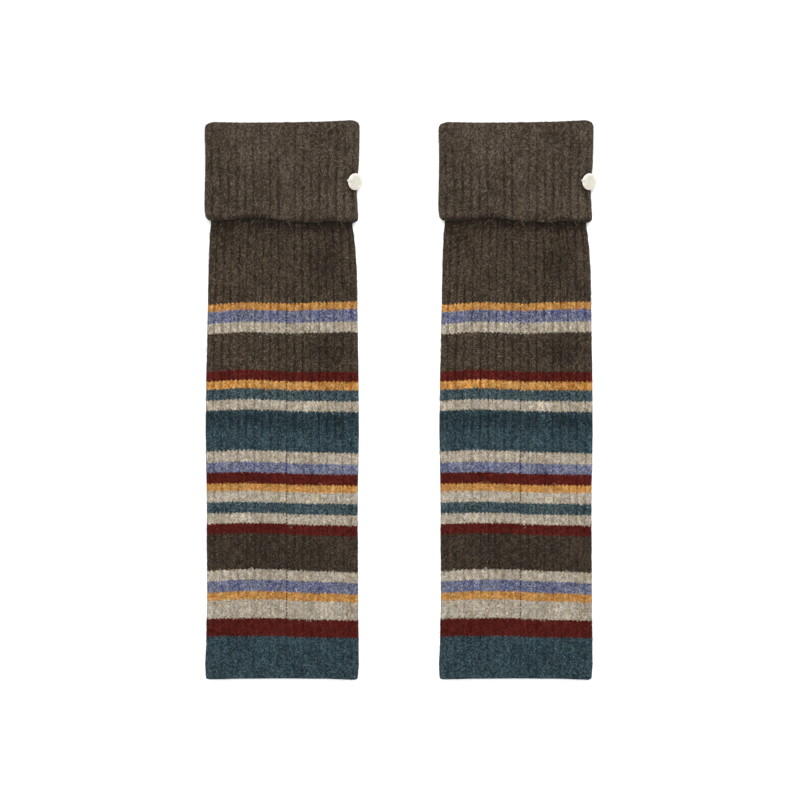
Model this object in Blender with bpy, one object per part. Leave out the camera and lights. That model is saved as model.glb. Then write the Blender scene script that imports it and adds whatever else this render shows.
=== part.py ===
"""A pair of rib-knit leg warmers, laid flat side by side on a table.

Each leg warmer is a tube of thick ribbed wool, pressed flat, with its top turned down outside as a
cuff and a small button sewn where the cuff folds round at its right edge. +X is to the right, +Y
runs from the hem to the cuff, +Z is up from the table. Units are metres.
"""

import math
from collections import namedtuple

import bmesh
import bpy
from mathutils import Matrix, Vector

# Driving dimensions of one leg warmer, as it lies.
LENGTH = 0.5018
CUFF_DEPTH = 0.0884
PAIR_SPACING = 0.2106

# The cloth: its wall between the ribs, the height of a rib, and the ribs in one round.
WALL = 0.0020
RIB_HEIGHT = 0.0009
RIB_COUNT = 38
SEAM_DEPTH = 0.0004
SEAM_X = 0.0040

# Air between the two layers of the flat tube, and between separate pieces.
LAYER_GAP = 0.0006
PIECE_GAP = 0.0003

# Levels above the table. The tube lies on the table below the cuff and on the cuff's back inside it.
TUBE_HEIGHT = 2 * WALL + LAYER_GAP
TUBE_LIFT = WALL + PIECE_GAP
CUFF_HOLLOW = TUBE_LIFT + TUBE_HEIGHT + RIB_HEIGHT + PIECE_GAP
CUFF_HEIGHT = CUFF_HOLLOW + WALL

# The fold at the top: the cuff's flap outside, the tube's wall inside, a half turn between them.
FOLD_STEP = RIB_HEIGHT + 2 * WALL + PIECE_GAP
FOLD_RADIUS = FOLD_STEP / 2
FOLD_CREASE = FOLD_RADIUS - WALL
FOLD_CORNER = 0.0014
FOLD_AXIS = LENGTH - FOLD_RADIUS - RIB_HEIGHT
CUFF_EDGE = LENGTH - CUFF_DEPTH

# Where the tube climbs from the table into the cuff.
CLIMB_START = CUFF_EDGE - 0.0190
CLIMB_END = CUFF_EDGE - 0.0025

# How far each side of the flat shape lies from its middle, at heights above the hem.
Width = namedtuple("Width", "along left right")
TUBE_WIDTHS = (
    Width(0.000, 0.0693, 0.0684),
    Width(0.013, 0.0695, 0.0687),
    Width(0.035, 0.0686, 0.0689),
    Width(0.076, 0.0679, 0.0686),
    Width(0.143, 0.0683, 0.0683),
    Width(0.238, 0.0693, 0.0693),
    Width(0.278, 0.0689, 0.0689),
    Width(0.305, 0.0680, 0.0686),
    Width(0.346, 0.0670, 0.0678),
    Width(0.386, 0.0662, 0.0662),
    Width(0.400, 0.0657, 0.0647),
    Width(0.410, 0.0647, 0.0634),
    Width(0.440, 0.0654, 0.0638),
    Width(0.467, 0.0662, 0.0658),
    Width(0.499, 0.0664, 0.0664),
)
CUFF_WIDTHS = (
    Width(0.413, 0.0696, 0.0684),
    Width(0.427, 0.0704, 0.0677),
    Width(0.440, 0.0700, 0.0674),
    Width(0.454, 0.0697, 0.0685),
    Width(0.467, 0.0696, 0.0694),
    Width(0.483, 0.0696, 0.0698),
    Width(0.502, 0.0699, 0.0697),
)

# How far the knitted rows rise or dip across the width, from the left side to the right.
Sway = namedtuple("Sway", "along left mid_left middle mid_right right")
SWAYS = (
    Sway(0.000, -0.0002, 0.0004, 0.0006, 0.0004, -0.0006),
    Sway(0.380, -0.0003, 0.0004, 0.0002, 0.0000, 0.0006),
    Sway(CUFF_EDGE, -0.0003, 0.0018, 0.0002, -0.0010, -0.0012),
    Sway(LENGTH, -0.0002, -0.0005, -0.0004, 0.0002, 0.0013),
)
SWAY_REACH = 0.0690

# The rounded edges: how far in from the side and down from the top face each row lies.
Edge = namedtuple("Edge", "step inset drop rib_share")
HEM_EDGE = (
    Edge(0.0000, 0.0020, 0.0008, 0.4),
    Edge(0.0008, 0.0008, 0.0003, 0.8),
    Edge(0.0030, 0.0000, 0.0000, 1.0),
)
CUFF_HEM_EDGE = (
    Edge(0.0000, 0.0020, 0.0010, 0.4),
    Edge(0.0009, 0.0009, 0.0004, 0.8),
    Edge(0.0034, 0.0000, 0.0000, 1.0),
)
CUFF_HEM_INNER_INSET = 0.0008

# Heights above the hem at which the rest of each wall gets a row of points.
TUBE_OUTER_ROWS = (0.035, 0.076, 0.143, 0.238, 0.305, 0.346, 0.386)
TUBE_INNER_ROWS = (0.000, 0.076, 0.238, 0.346, 0.386)
CLIMB_ROWS = 4
TUBE_CUFF_ROWS = (0.440, 0.467)
CUFF_ROWS = (0.427, 0.440, 0.467, 0.483)
CUFF_INNER_ROWS = (0.467, 0.440, 0.427)
FOLD_TURNS = (0, 38, 72, 105, 140, 180)
CREASE_TURNS = (180, 90, 0)

# The ribs on the table side are pressed flat, and those on the side folds get more points.
UNDER_RIBS = range(10, 27)
FOLD_RIBS = (8, 9, 27, 28)
RIB_SHAPE = ((0.0, 0.0), (0.22, 1.0), (0.78, 1.0))
FOLD_RIB_SHAPE = ((0.0, 0.0), (0.18, 0.9), (0.38, 1.0), (0.62, 1.0), (0.82, 0.9))
FLAT_RIB_SHAPE = ((0.0, 0.0),)
RIB_FADE = 0.6

# The button: turned, with a rim round a shallow dish and two sewing holes.
BUTTON_RADIUS = 0.0076
BUTTON_PROFILE = (
    (0.0000, 0.0000),
    (0.0030, 0.0001),
    (0.0052, 0.0005),
    (0.0068, 0.0011),
    (BUTTON_RADIUS, 0.0019),
    (0.0074, 0.0025),
    (0.0068, 0.0028),
    (0.0062, 0.0027),
    (0.0057, 0.0022),
    (0.0040, 0.0018),
    (0.0000, 0.0017),
)
BUTTON_SIDES = 28
HOLE_RADIUS = 0.0008
HOLE_OFFSET = 0.0024
HOLE_SIDES = 10
BUTTON_ALONG = 0.4473
BUTTON_TILT = math.radians(32)
BUTTON_TURN = math.radians(-8)

Finish = namedtuple("Finish", "name color roughness metallic")
STRIPED_WOOL = Finish("striped_wool", (0.060, 0.060, 0.055, 1.0), 0.95, 0.0)
BROWN_WOOL = Finish("brown_wool", (0.060, 0.045, 0.034, 1.0), 0.95, 0.0)
PALE_SHELL = Finish("pale_shell", (0.800, 0.760, 0.680, 1.0), 0.30, 0.0)


def smooth(share):
    """Eases a share from 0 to 1, level at both ends."""
    share = min(max(share, 0.0), 1.0)
    return share * share * (3 - 2 * share)


def between(rows, along):
    """The row before a height, the row after it, and the share of the way between them."""
    for first, second in zip(rows, rows[1:]):
        if along <= second.along:
            break
    share = (along - first.along) / (second.along - first.along)
    return first, second, smooth(share)


def mixed(rows, along):
    """A table's values at a height, without the height itself."""
    first, second, share = between(rows, along)
    return [a + (b - a) * share for a, b in zip(first[1:], second[1:])]


def sway(along, x):
    """How far a knitted row lies above its mean height at a distance across the tube."""
    columns = mixed(SWAYS, along)
    place = (min(max(x / SWAY_REACH, -1.0), 1.0) + 1) / 2 * (len(columns) - 1)
    column = min(int(place), len(columns) - 2)
    share = smooth(place - column)
    return columns[column] + (columns[column + 1] - columns[column]) * share


def tube_lift(along):
    """The height of the tube's underside above the table."""
    return TUBE_LIFT * smooth((along - CLIMB_START) / (CLIMB_END - CLIMB_START))


class Outline:
    """A flattened tube cut across: straight faces joined by half circles at the sides."""

    def __init__(self, left, right, low, high):
        self.radius = (high - low) / 2
        self.level = (high + low) / 2
        self.left = self.radius - left
        self.right = right - self.radius
        self.face = self.right - self.left
        self.turn = math.pi * self.radius

    def at(self, share):
        """The point and outward normal a share of the way round, clockwise from the seam."""
        way = share * 2 * (self.face + self.turn)
        first_face = self.right - SEAM_X
        if way < first_face:
            return Vector((SEAM_X + way, self.level + self.radius)), Vector((0, 1))
        way -= first_face
        if way < self.turn:
            return self.on_turn(self.right, way / self.radius, 1)
        way -= self.turn
        if way < self.face:
            return Vector((self.right - way, self.level - self.radius)), Vector((0, -1))
        way -= self.face
        if way < self.turn:
            return self.on_turn(self.left, way / self.radius, -1)
        way -= self.turn
        return Vector((self.left + way, self.level + self.radius)), Vector((0, 1))

    def on_turn(self, middle, angle, side):
        normal = Vector((math.sin(angle), math.cos(angle))) * side
        return Vector((middle, self.level)) + normal * self.radius, normal


def rib_shape(rib):
    """The points across one rib, as its share of the rib's width and of the rib's height."""
    if rib in UNDER_RIBS:
        return FLAT_RIB_SHAPE
    return FOLD_RIB_SHAPE if rib in FOLD_RIBS else RIB_SHAPE


def ribbed_ring(along, outline, rib_share=1.0, lean=0.0):
    """A closed row of points with the ribs raised, one list for each rib.

    The lean is how far the wall has turned over the top fold, in radians.
    """
    ring = []
    for rib in range(RIB_COUNT):
        points = []
        for place, height in rib_shape(rib):
            spot, normal = outline.at((rib + place) / RIB_COUNT)
            fade = smooth(1 + normal.y / RIB_FADE)
            rise = height * RIB_HEIGHT * rib_share * fade
            if rib == 0 and place == 0:
                rise = -SEAM_DEPTH * rib_share
            across = spot + normal * rise * math.cos(lean)
            up = along + rise * math.sin(lean)
            points.append((across.x, up + sway(along, across.x), across.y))
        ring.append(points)
    return ring


def plain_ring(along, outline):
    """A closed row of points on the wall's inner face, one for each rib, more on the side folds."""
    ring = []
    for rib in range(RIB_COUNT):
        points = []
        for place, _ in FOLD_RIB_SHAPE if rib in FOLD_RIBS else FLAT_RIB_SHAPE:
            spot, _ = outline.at((rib + place) / RIB_COUNT)
            points.append((spot.x, along + sway(along, spot.x), spot.y))
        ring.append(points)
    return ring


def tube_outline(along, inner, inset=0.0, drop=0.0):
    left, right = mixed(TUBE_WIDTHS, along)
    low = tube_lift(along)
    step = WALL if inner else 0.0
    side = RIB_HEIGHT + step + inset
    return Outline(left - side, right - side, low + step, low + TUBE_HEIGHT - step - drop)


def tube_rings():
    """The tube's rows: up the outside from the hem, then down the inside."""
    top = FOLD_AXIS - PIECE_GAP
    climb = [
        CLIMB_START + (CLIMB_END - CLIMB_START) * step / (CLIMB_ROWS - 1)
        for step in range(CLIMB_ROWS)
    ]
    rings = [
        ribbed_ring(edge.step, tube_outline(edge.step, False, edge.inset, edge.drop), edge.rib_share)
        for edge in HEM_EDGE
    ]
    for along in (*TUBE_OUTER_ROWS, *climb, *TUBE_CUFF_ROWS, top):
        rings.append(ribbed_ring(along, tube_outline(along, False)))
    for along in reversed((*TUBE_INNER_ROWS, *climb, *TUBE_CUFF_ROWS, top)):
        rings.append(plain_ring(along, tube_outline(along, True)))
    return rings


def cuff_outline(along, inner, inset=0.0, drop=0.0):
    left, right = mixed(CUFF_WIDTHS, along)
    step = WALL if inner else 0.0
    side = RIB_HEIGHT + step + inset
    return Outline(left - side, right - side, step, CUFF_HEIGHT - step - drop)


def fold_ring(turn, inner):
    """A row where the cuff turns over the top: 0 degrees on the flap, 180 inside the tube."""
    angle = math.radians(turn)
    radius = FOLD_CREASE if inner else FOLD_RADIUS
    over, up = math.cos(angle), math.sin(angle)
    top_level = CUFF_HEIGHT - FOLD_RADIUS
    back_level = (TUBE_LIFT + WALL) / 2
    back_radius = back_level - WALL if inner else back_level
    left, right = mixed(CUFF_WIDTHS, FOLD_AXIS)
    side = RIB_HEIGHT + FOLD_RADIUS - radius * over + FOLD_CORNER * up
    outline = Outline(
        left - side, right - side, back_level - back_radius * over, top_level + radius * over
    )
    along = FOLD_AXIS + radius * up
    if inner:
        return plain_ring(along, outline)
    return ribbed_ring(along, outline, rib_share=smooth((180 - turn) / 90), lean=angle)


def cuff_rings():
    """The cuff's rows: up the outside from its edge, over the fold, then down the inside."""
    rings = []
    for edge in CUFF_HEM_EDGE:
        along = CUFF_EDGE + edge.step
        outline = cuff_outline(along, False, edge.inset, edge.drop)
        rings.append(ribbed_ring(along, outline, edge.rib_share))
    for along in CUFF_ROWS:
        rings.append(ribbed_ring(along, cuff_outline(along, False)))
    rings.extend(fold_ring(turn, inner=False) for turn in FOLD_TURNS)
    rings.extend(fold_ring(turn, inner=True) for turn in CREASE_TURNS)
    for along in CUFF_INNER_ROWS:
        rings.append(plain_ring(along, cuff_outline(along, True)))
    rings.append(plain_ring(CUFF_EDGE, cuff_outline(CUFF_EDGE, True, CUFF_HEM_INNER_INSET)))
    return rings


def joined_rings(bm, rings):
    """Faces between each row and the next, and from the last row back to the first."""
    rows = [[[bm.verts.new(point) for point in rib] for rib in ring] for ring in rings]
    for row, after in zip(rows, rows[1:] + rows[:1]):
        for rib in range(RIB_COUNT):
            beside = (rib + 1) % RIB_COUNT
            near = row[rib] + row[beside][:1]
            far = after[rib] + after[beside][:1]
            if len(near) == len(far):
                for step in range(len(near) - 1):
                    bm.faces.new((near[step], near[step + 1], far[step + 1], far[step]))
            else:
                bm.faces.new(near + far[::-1])
    bmesh.ops.recalc_face_normals(bm, faces=bm.faces)


def material(finish):
    found = bpy.data.materials.get(finish.name)
    if found:
        return found
    made = bpy.data.materials.new(finish.name)
    made.use_nodes = True
    shader = made.node_tree.nodes["Principled BSDF"]
    shader.inputs["Base Color"].default_value = finish.color
    shader.inputs["Roughness"].default_value = finish.roughness
    shader.inputs["Metallic"].default_value = finish.metallic
    made.diffuse_color = finish.color
    return made


def new_object(name, bm, finish, holder):
    mesh = bpy.data.meshes.new(name)
    bm.to_mesh(mesh)
    bm.free()
    mesh.materials.append(material(finish))
    mesh.shade_smooth()
    mesh.set_sharp_from_angle(angle=math.radians(50))
    made = bpy.data.objects.new(name, mesh)
    bpy.context.scene.collection.objects.link(made)
    made.parent = holder
    return made


def knitted(name, rings, finish, holder):
    bm = bmesh.new()
    joined_rings(bm, rings)
    return new_object(name, bm, finish, holder)


def turned_button(name, holder):
    """The button's turned body, its back on the local XY plane and its dish facing local +Z."""
    bm = bmesh.new()
    outline = [bm.verts.new((radius, 0, level)) for radius, level in BUTTON_PROFILE]
    edges = [bm.edges.new(pair) for pair in zip(outline, outline[1:])]
    bmesh.ops.spin(
        bm,
        geom=outline + edges,
        cent=(0, 0, 0),
        axis=(0, 0, 1),
        angle=math.tau,
        steps=BUTTON_SIDES,
        use_duplicate=False,
    )
    bmesh.ops.remove_doubles(bm, verts=bm.verts, dist=1e-6)
    bmesh.ops.recalc_face_normals(bm, faces=bm.faces)
    return new_object(name, bm, PALE_SHELL, holder)


def hole_cutter(name, button):
    """Two round rods through the button, kept out of the model."""
    bm = bmesh.new()
    depth = 4 * BUTTON_PROFILE[5][1]
    for side in (-1, 1):
        bmesh.ops.create_cone(
            bm,
            cap_ends=True,
            segments=HOLE_SIDES,
            radius1=HOLE_RADIUS,
            radius2=HOLE_RADIUS,
            depth=depth,
            matrix=Matrix.Translation((side * HOLE_OFFSET, 0, 0)),
        )
    cutter = new_object(name, bm, PALE_SHELL, button)
    cutter.hide_render = True
    cutter.display_type = "WIRE"
    return cutter


def sewn_button(name, holder):
    """The button, seated on the shoulder of the cuff's right-hand side fold."""
    button = turned_button(name, holder)
    cut = button.modifiers.new("holes", "BOOLEAN")
    cut.operation = "DIFFERENCE"
    cut.solver = "EXACT"
    cut.object = hole_cutter(name + "_holes", button)
    shoulder = cuff_outline(BUTTON_ALONG, inner=False)
    normal = Vector((math.sin(BUTTON_TILT), 0, math.cos(BUTTON_TILT)))
    middle = Vector((shoulder.right, BUTTON_ALONG, shoulder.level))
    button.location = middle + normal * (shoulder.radius + RIB_HEIGHT + PIECE_GAP)
    button.rotation_euler = (0, BUTTON_TILT, BUTTON_TURN)
    return button


def leg_warmer(side):
    """One leg warmer and the empty that holds it, with the hem's middle at the empty."""
    holder = bpy.data.objects.new(f"leg_warmer_{side}", None)
    bpy.context.scene.collection.objects.link(holder)
    knitted(f"tube_{side}", tube_rings(), STRIPED_WOOL, holder)
    knitted(f"cuff_{side}", cuff_rings(), BROWN_WOOL, holder)
    sewn_button(f"button_{side}", holder)
    return holder


def box_of(holder):
    """The lowest and highest corners of the solids that an empty holds."""
    bpy.context.view_layer.update()
    corners = [
        piece.matrix_world @ vertex.co
        for piece in holder.children
        for vertex in piece.data.vertices
    ]
    low = Vector([min(corner[axis] for corner in corners) for axis in range(3)])
    high = Vector([max(corner[axis] for corner in corners) for axis in range(3)])
    return low, high


def main():
    for old in list(bpy.data.objects):
        bpy.data.objects.remove(old)
    for side, place in (("left", -0.5), ("right", 0.5)):
        holder = leg_warmer(side)
        low, high = box_of(holder)
        middle = (low + high) / 2
        holder.location = (place * PAIR_SPACING - middle.x, -middle.y, 0)


main()
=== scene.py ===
"""The looks of a pair of rib-knit leg warmers that lie flat side by side.

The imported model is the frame. Each tube and cuff gets a fine shell in its place, with ribs, stitches
and stripes, a nap of loose wool fibres, a seam and a few stray strands. Units are metres. In a leg
warmer's own directions x runs across from the seam side's middle, y up from the hem and z up.
"""

import math
from collections import namedtuple

import bmesh
import bpy
import numpy as np
from mathutils import Matrix, Vector


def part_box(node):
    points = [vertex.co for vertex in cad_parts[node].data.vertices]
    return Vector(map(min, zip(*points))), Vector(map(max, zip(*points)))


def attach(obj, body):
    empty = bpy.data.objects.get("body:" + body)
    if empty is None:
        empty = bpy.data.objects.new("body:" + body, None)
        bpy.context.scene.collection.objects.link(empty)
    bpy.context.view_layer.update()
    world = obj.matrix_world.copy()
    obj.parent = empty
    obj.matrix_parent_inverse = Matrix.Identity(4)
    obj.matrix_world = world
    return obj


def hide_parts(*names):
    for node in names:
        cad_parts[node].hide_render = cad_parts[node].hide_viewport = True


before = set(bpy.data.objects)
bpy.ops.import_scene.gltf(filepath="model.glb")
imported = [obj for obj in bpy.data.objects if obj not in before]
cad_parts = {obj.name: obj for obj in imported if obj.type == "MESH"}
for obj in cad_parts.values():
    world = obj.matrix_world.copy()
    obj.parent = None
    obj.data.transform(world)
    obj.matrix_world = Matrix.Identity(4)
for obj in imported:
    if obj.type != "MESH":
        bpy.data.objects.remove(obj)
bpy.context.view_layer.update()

SIDES = ("left", "right")


def table(kind, *rows):
    """Rows of plain values as named tuples."""
    return tuple(kind(*row) for row in rows)


# One leg warmer as it lies, as its solids have it.
LENGTH = 0.5018
CUFF_EDGE = 0.4134
WALL = 0.0020
RIB_HEIGHT = 0.0009
RIB_COUNT = 38
SEAM_X = 0.0040
LAYER_GAP = 0.0006
PIECE_GAP = 0.0003
TUBE_HEIGHT = 2 * WALL + LAYER_GAP
TUBE_LIFT = WALL + PIECE_GAP
CUFF_HEIGHT = TUBE_LIFT + TUBE_HEIGHT + RIB_HEIGHT + PIECE_GAP + WALL
FOLD_RADIUS = (RIB_HEIGHT + 2 * WALL + PIECE_GAP) / 2
FOLD_CREASE = FOLD_RADIUS - WALL
FOLD_CORNER = 0.0047
FOLD_AXIS = LENGTH - FOLD_RADIUS - RIB_HEIGHT
CUFF_FLAP = FOLD_AXIS - CUFF_EDGE
CUFF_REACH = CUFF_FLAP + math.pi * FOLD_RADIUS
CLIMB_START = CUFF_EDGE - 0.0190
CLIMB_END = CUFF_EDGE - 0.0025

# How far each side of the flat shape lies from its middle, at heights above the hem.
Width = namedtuple("Width", "along left right")
TUBE_WIDTHS = table(
    Width,
    (0.000, 0.0693, 0.0684),
    (0.013, 0.0697, 0.0690),
    (0.035, 0.0686, 0.0690),
    (0.076, 0.0679, 0.0686),
    (0.143, 0.0683, 0.0683),
    (0.238, 0.0693, 0.0693),
    (0.278, 0.0689, 0.0689),
    (0.305, 0.0680, 0.0686),
    (0.346, 0.0671, 0.0682),
    (0.366, 0.0669, 0.0679),
    (0.386, 0.0666, 0.0668),
    (0.400, 0.0659, 0.0650),
    (0.410, 0.0645, 0.0632),
    (0.440, 0.0654, 0.0638),
    (0.467, 0.0662, 0.0658),
    (0.499, 0.0664, 0.0664),
)
CUFF_WIDTHS = table(
    Width,
    (0.413, 0.0692, 0.0691),
    (0.427, 0.0700, 0.0680),
    (0.440, 0.0696, 0.0671),
    (0.454, 0.0695, 0.0684),
    (0.467, 0.0696, 0.0694),
    (0.483, 0.0696, 0.0698),
    (0.502, 0.0699, 0.0697),
)

# How far the knitted rows rise or dip across the width, from the left side to the right.
Sway = namedtuple("Sway", "along left mid_left middle mid_right right")
SWAYS = table(
    Sway,
    (0.000, -0.0002, 0.0004, 0.0006, 0.0004, -0.0006),
    (0.039, -0.0005, -0.0002, -0.0001, -0.0016, -0.0022),
    (0.098, -0.0015, 0.0002, 0.0000, -0.0018, -0.0031),
    (0.176, -0.0002, 0.0002, -0.0005, -0.0016, -0.0019),
    (0.206, -0.0011, 0.0000, -0.0008, -0.0022, -0.0030),
    (0.269, -0.0012, 0.0004, -0.0008, -0.0014, -0.0016),
    (0.339, -0.0022, 0.0001, -0.0006, 0.0003, 0.0009),
    (CUFF_EDGE, -0.0003, 0.0018, 0.0002, -0.0010, -0.0012),
    (LENGTH, -0.0002, -0.0005, -0.0003, 0.0004, 0.0018),
)
SWAY_REACH = 0.0690

# How far the cuff's edge rises above a straight line, at places across it.
Wave = namedtuple("Wave", "along rise")
EDGE_WAVES = table(
    Wave,
    (-0.0650, -0.0002),
    (-0.0500, -0.0010),
    (-0.0360, -0.0006),
    (-0.0260, 0.0010),
    (-0.0100, 0.0008),
    (0.0000, -0.0002),
    (0.0060, -0.0012),
    (0.0270, -0.0010),
    (0.0440, 0.0002),
    (0.0560, -0.0004),
    (0.0660, -0.0010),
)
EDGE_REACH = 0.0140

# Smooth unevenness: how strong, in how many steps round a piece, how long a step is up it, and a seed
# that is added to the piece's own. The edge's is laid along its span and doesn't change upwards.
Drift = namedtuple("Drift", "strength around length seed")
RIB_WANDERS = (Drift(0.080, RIB_COUNT, 0.045, 0), Drift(0.048, RIB_COUNT, 0.016, 1))
RIB_UNEVENNESS = Drift(0.30, RIB_COUNT, 0.030, 2)
SWELL = Drift(0.00014, 14, 0.025, 3)
EDGE_RAGGED = Drift(0.0004, 48, 1.0, 9)
EDGE_SPAN = 0.168

# The knit: two stitches to a rib, a sunk line between ribs and a shallow one between the stitches. The
# ribs are flatter at the hem and at the fold, and underneath.
STITCH_HEIGHT = 0.0027
VALLEY_SHARE = 0.24
VALLEY_DEPTH = 0.0008
GROOVE_DEPTH = 0.30
GROOVE_SHARE = 0.055
HEM_RELIEF = 0.45
HEM_FLAT = 0.060
HEM_REACH = 0.270
FOLD_RELIEF = 0.40
FOLD_REACH = 0.042
UNDERSIDE_DEPTH = 0.0005
RIB_FADE = 0.6

# The seam: a sunk line in the tube and a low ridge in the cuff, and the step between its two sides.
SEAM_DEPTH = 0.0002
SEAM_SHARE = 0.12
RIDGE_HEIGHT = 0.0004
RIDGE_SHARE = 0.24
SEAM_STEP = 0.0009
SEAM_STEP_REACH = 1.5

# Rounded edges: the lip of the cloth, and the corners seen from above. Fibres droop beyond an edge.
LIP_RADIUS = 0.0012
HEM_CORNER = 0.0026
CUFF_CORNER = 0.0050
DROOP = 1.2

# How finely the shells are drawn: rows of points close together at an edge, further apart where the
# piece shows and furthest in the sleeve inside the cuff, and more points round the ribs that show.
EDGE_ROWS = 7
HEM_ROWS_REACH = LIP_RADIUS * 2.5
CUFF_ROWS_REACH = LIP_RADIUS * 3.5
EDGE_SPACING = 0.001
ROW_SPACING = 0.0040
FLAP_SPACING = ROW_SPACING * 0.75
SLEEVE_START = CUFF_EDGE - 0.002
SLEEVE_SPACING = 0.0120
FOLD_TURNS = range(0, 181, 15)
RIB_POINTS = 12
UNDER_RIB_POINTS = 6
INNER_STEP = 3
UNDER_RIBS = range(11, 26)

# Where the outer and the inner faces lie on the square of the OFBake map.
OUTER_STRIP = (0.01, 0.78)
INNER_STRIP = (0.80, 0.99)
BAKE_RISE = (0.01, 0.99)

# Stripes from the hem up: the wool's colour and how far up each one reaches on the seam's left.
Stripe = namedtuple("Stripe", "wool top")
STRIPES = table(
    Stripe,
    ("teal", 0.0391),
    ("oxblood", 0.0553),
    ("oat", 0.0718),
    ("ochre", 0.0793),
    ("blue", 0.0896),
    ("oat", 0.0989),
    ("umber", 0.1313),
    ("oxblood", 0.1407),
    ("oat", 0.1497),
    ("slate", 0.1598),
    ("oat", 0.1695),
    ("ochre", 0.1762),
    ("oxblood", 0.1865),
    ("blue", 0.1960),
    ("oat", 0.2063),
    ("teal", 0.2429),
    ("oat", 0.2519),
    ("slate", 0.2619),
    ("ochre", 0.2693),
    ("oxblood", 0.2784),
    ("brown", 0.3126),
    ("oat", 0.3218),
    ("blue", 0.3327),
    ("ochre", 0.3392),
    ("brown", LENGTH),
)

# The wools, as sRGB numbers up to 255: each is spun from fibres of five colours.
Wool = namedtuple("Wool", "body pale dark warm cool")
WOOLS = {
    "brown": Wool((56, 45, 34), (104, 92, 79), (32, 24, 16), (58, 46, 33), (55, 45, 36)),
    "umber": Wool((50, 40, 31), (92, 80, 68), (28, 21, 14), (51, 40, 30), (49, 40, 32)),
    "ochre": Wool((180, 127, 60), (216, 178, 118), (147, 80, 18), (187, 121, 49), (184, 138, 71)),
    "blue": Wool((88, 95, 131), (166, 166, 170), (48, 52, 83), (85, 88, 135), (98, 107, 129)),
    "oat": Wool((171, 159, 140), (211, 205, 195), (122, 105, 77), (174, 160, 131), (168, 159, 148)),
    "oxblood": Wool((80, 18, 11), (102, 43, 36), (54, 7, 4), (84, 20, 9), (77, 17, 14)),
    "teal": Wool((36, 55, 63), (86, 106, 112), (18, 33, 40), (37, 56, 60), (34, 54, 65)),
    "slate": Wool((42, 60, 66), (106, 122, 124), (21, 35, 42), (44, 61, 62), (40, 59, 69)),
    "cuff": Wool((67, 56, 44), (118, 106, 94), (40, 31, 22), (70, 57, 42), (66, 56, 47)),
}
LOOSE_YARN = (116, 106, 92)
WHITE_THREAD = (246, 240, 226)
STRIPE_WOOLS = ("brown", "umber", "ochre", "blue", "oat", "oxblood", "teal", "slate")
WOOL_GAIN = 0.70

# A stripe's edge zigzags with the stitches by half of TOOTH in rows of stitches, and by a steady share
# of it where the ribs are flat. It is rough too, and loose fibres stray over it.
TOOTH = 0.95
TOOTH_STEADY = 0.50
TOOTH_SPREAD = 0.00032
EDGE_ROUGHNESS = 1.40
EDGE_NOISE = (560.0, 2.0)
EDGE_CROSSING = 0.0012

# How far it is round the tube and round the cuff, laid flat.
ROUND_TUBE = 0.277

# Painted shade, where the wool is drawn darker: a spot's middle, how far it reaches each way, how much
# of its light is left there, and how far the tone of the loose fibres drops. On the tube there are two
# painted shadows under the cuff's edge, painted shade in two soft hollows in the brown, a darker upper
# half of the wide teal stripe and a faint painted falloff of light over the lower stripes. On the cuff
# they are painted shade at its own edge, a painted shadow beside the button and painted shade in two
# soft hollows.
ShadePatch = namedtuple("ShadePatch", "x up reach_x reach_up shade tone")
TUBE_PAINTED_SHADE = table(
    ShadePatch,
    (0.000, CUFF_EDGE, 1.000, 0.0130, 0.50, -2.2),
    (0.000, CUFF_EDGE, 1.000, 0.0340, 0.86, -0.25),
    (0.041, 0.3720, 0.022, 0.0360, 0.66, -0.55),
    (0.041, 0.2960, 0.022, 0.0210, 0.66, -0.55),
    (-0.010, 0.2335, 1.000, 0.0120, 0.66, -0.65),
    (0.000, 0.0500, 1.000, 0.1100, 0.92, 0.00),
)
CUFF_PAINTED_SHADE = table(
    ShadePatch,
    (0.000, -0.0010, 1.000, 0.0062, 0.50, -1.7),
    (0.064, 0.0320, 0.012, 0.0120, 0.60, -2.2),
    (-0.032, 0.0200, 0.038, 0.0300, 0.82, -0.25),
    (-0.070, 0.0700, 0.030, 0.0300, 0.82, -0.25),
)
# The share of a shade patch's reach where its painted shade is darkest, and how ragged its outline is in
# the wool and in the loose fibres.
SHADE_PATCH_MIDDLE = 0.10
SHADE_PATCH_RAGGED = 0.25
SHADE_PATCH_DRIFT = Drift(SHADE_PATCH_RAGGED, 48, 0.006, 91)

# Layers of a colour: the noise each one follows, the two values between which it changes and its
# strength at each. Flecks have a scale, a detail and a roughness. The casts, STREAKS and the breaks in the
# painted shade between ribs have so many changes to a rib across and to a row of stitches up.
Layer = namedtuple("Layer", "noise low high start end")
WARM_CAST = Layer((1.6, 0.30), 0.52, 0.60, 0.0, 1.0)
COOL_CAST = Layer((1.6, 0.30), 0.48, 0.40, 0.0, 1.0)
DARK_FLECKS = Layer((480.0, 4.0, 0.7), 0.36, 0.56, 0.80, 0.0)
PALE_FLECKS = Layer((690.0, 3.0, 0.7), 0.46, 0.66, 0.0, 0.90)
CLUMPS = Layer((230.0, 2.0), 0.34, 0.66, 0.80, 1.18)
STREAKS = Layer((2.0, 0.16), 0.34, 0.66, 0.84, 1.14)
# Breaks in the painted shade of the sunk lines between ribs.
SHADE_LINE_BREAKS = Layer((1.0, 0.22), 0.36, 0.62, 0.54, 0.08)
SHADE_PATCH_EDGE = Layer((150.0, 2.0), 0.30, 0.70, -SHADE_PATCH_RAGGED, SHADE_PATCH_RAGGED)
YARN_CLOUDS = Layer((900.0, 2.0), 0.35, 0.65, 0.75, 1.1)
SHELL_CLOUDS = Layer((300.0, 3.0), 0.35, 0.70, 0.0, 0.7)

# The dark line between ribs is painted shade in the sunk line.
# Between which shares of a rib the dark line beside it fades, and how many ribs off the seam it starts.
SHADE_LINE_SHARE = (0.01, 0.19)
SHADE_LINE_START = 0.1

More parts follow.
